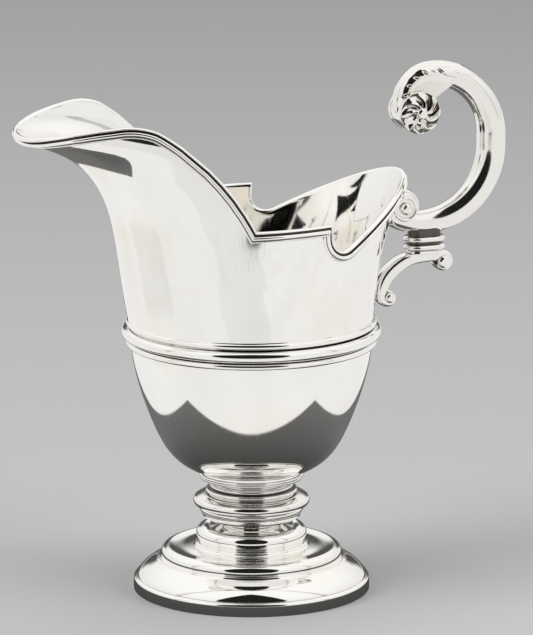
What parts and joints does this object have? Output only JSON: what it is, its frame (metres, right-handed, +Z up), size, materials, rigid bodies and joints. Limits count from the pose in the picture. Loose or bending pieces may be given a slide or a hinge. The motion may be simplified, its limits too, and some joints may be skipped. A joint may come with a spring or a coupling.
{
  "type": "cream jug",
  "caption": "Footed helmet-shaped silver cream jug with a long raised pouring lip, reeded girdle, stepped domed foot and a scroll handle with leaf and rosettes.",
  "frame": {"origin": "centre of the foot's underside, where the foot wire stands on the table", "axes": "+Z up, -X along the pouring lip, +X towards the handle; the jug is symmetric about the XZ plane"},
  "size_m": [0.1234, 0.0616, 0.1244],
  "materials": {
    "silver": "polished silver",
    "silver_wire": "polished drawn silver wire",
    "silver_cast": "polished cast silver, dark in its recesses"
  },
  "bodies": {
    "root": {"foot_wire": "silver_wire", "foot_dome": "silver", "stem_knop": "silver_cast", "bowl_collar": "silver_wire", "bowl": "silver", "girdle_moulding": "silver_wire", "upper_body": "silver", "rim_lip": "silver_wire", "rim_shoulder_left": "silver_wire", "rim_shoulder_right": "silver_wire", "rim_back": "silver_wire", "handle_plate": "silver_cast", "handle_scroll": "silver_cast", "handle_leaf": "silver_cast", "rosette_left": "silver_cast", "rosette_right": "silver_cast", "volute_boss_left": "silver_cast", "volute_boss_right": "silver_cast", "handle_reel": "silver_cast", "handle_bracket": "silver_cast", "bracket_pellets": "silver_cast"}
  },
  "joints": []
}
